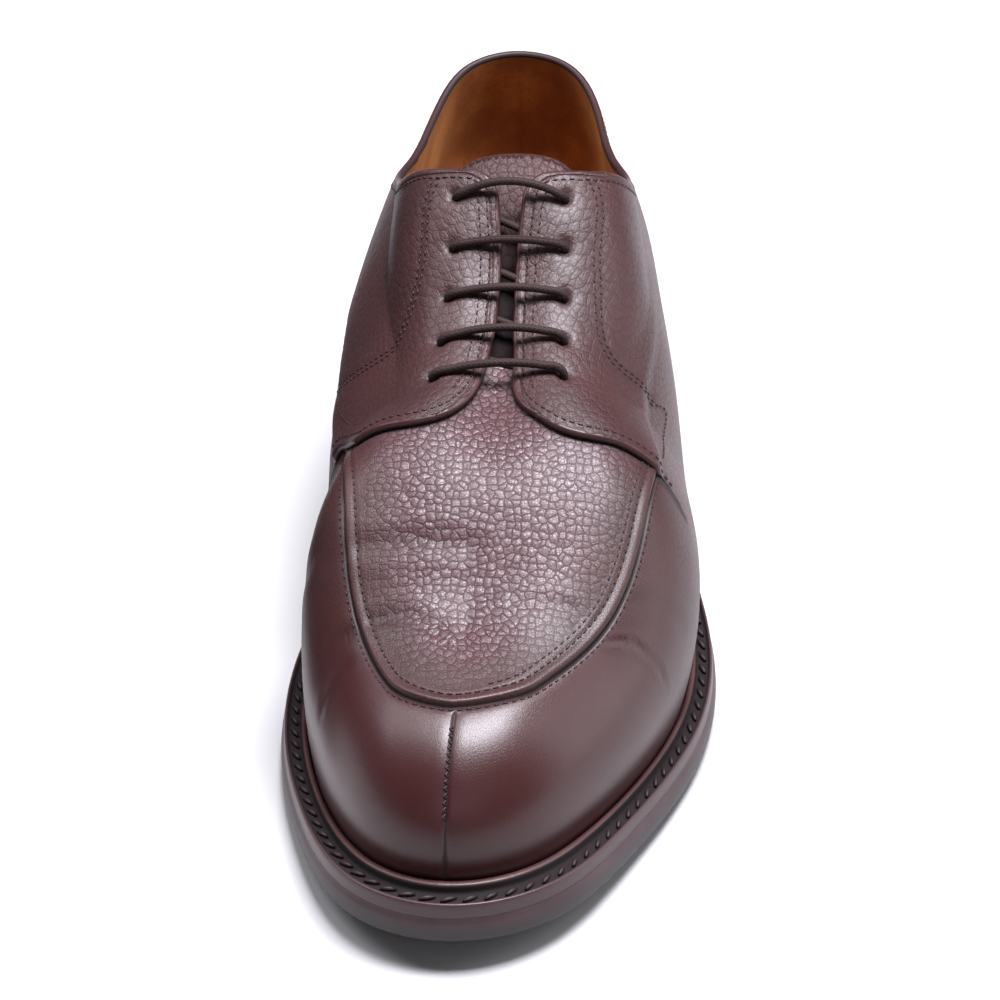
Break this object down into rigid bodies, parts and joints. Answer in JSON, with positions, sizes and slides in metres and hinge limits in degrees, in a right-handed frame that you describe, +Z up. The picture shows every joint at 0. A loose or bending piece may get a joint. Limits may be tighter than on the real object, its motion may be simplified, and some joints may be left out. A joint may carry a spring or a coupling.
{
  "type": "apron toe derby shoe",
  "caption": "Men's laced derby with a raised apron seam, open quarters, a hollow upper on a storm welt, and a rubber sole with a stacked heel; the shoe stands empty",
  "frame": {"origin": "on the ground, under the middle of the shoe's bounding box", "axes": "+Z up; the shoe's length lies along Y with the toe towards -Y; +X is the outer side of a left foot"},
  "size_m": [0.1088, 0.303, 0.1207],
  "materials": {
    "grain_leather": "polished pebble grain, dark reddish brown",
    "tongue_leather": "pebble grain, dark reddish brown",
    "waxed_lace": "round waxed cotton, dark brown",
    "lining_leather": "smooth, tan",
    "welt_leather": "smooth, brown, stitched in dark thread",
    "sole_rubber": "matt black",
    "heel_rubber": "satin black"
  },
  "bodies": {
    "root": {"upper": "grain_leather", "tongue": "tongue_leather", "laces": "waxed_lace", "insole": "lining_leather", "welt": "welt_leather", "outsole": "sole_rubber", "heel_block": "heel_rubber", "heel_top_piece": "sole_rubber"}
  },
  "joints": []
}
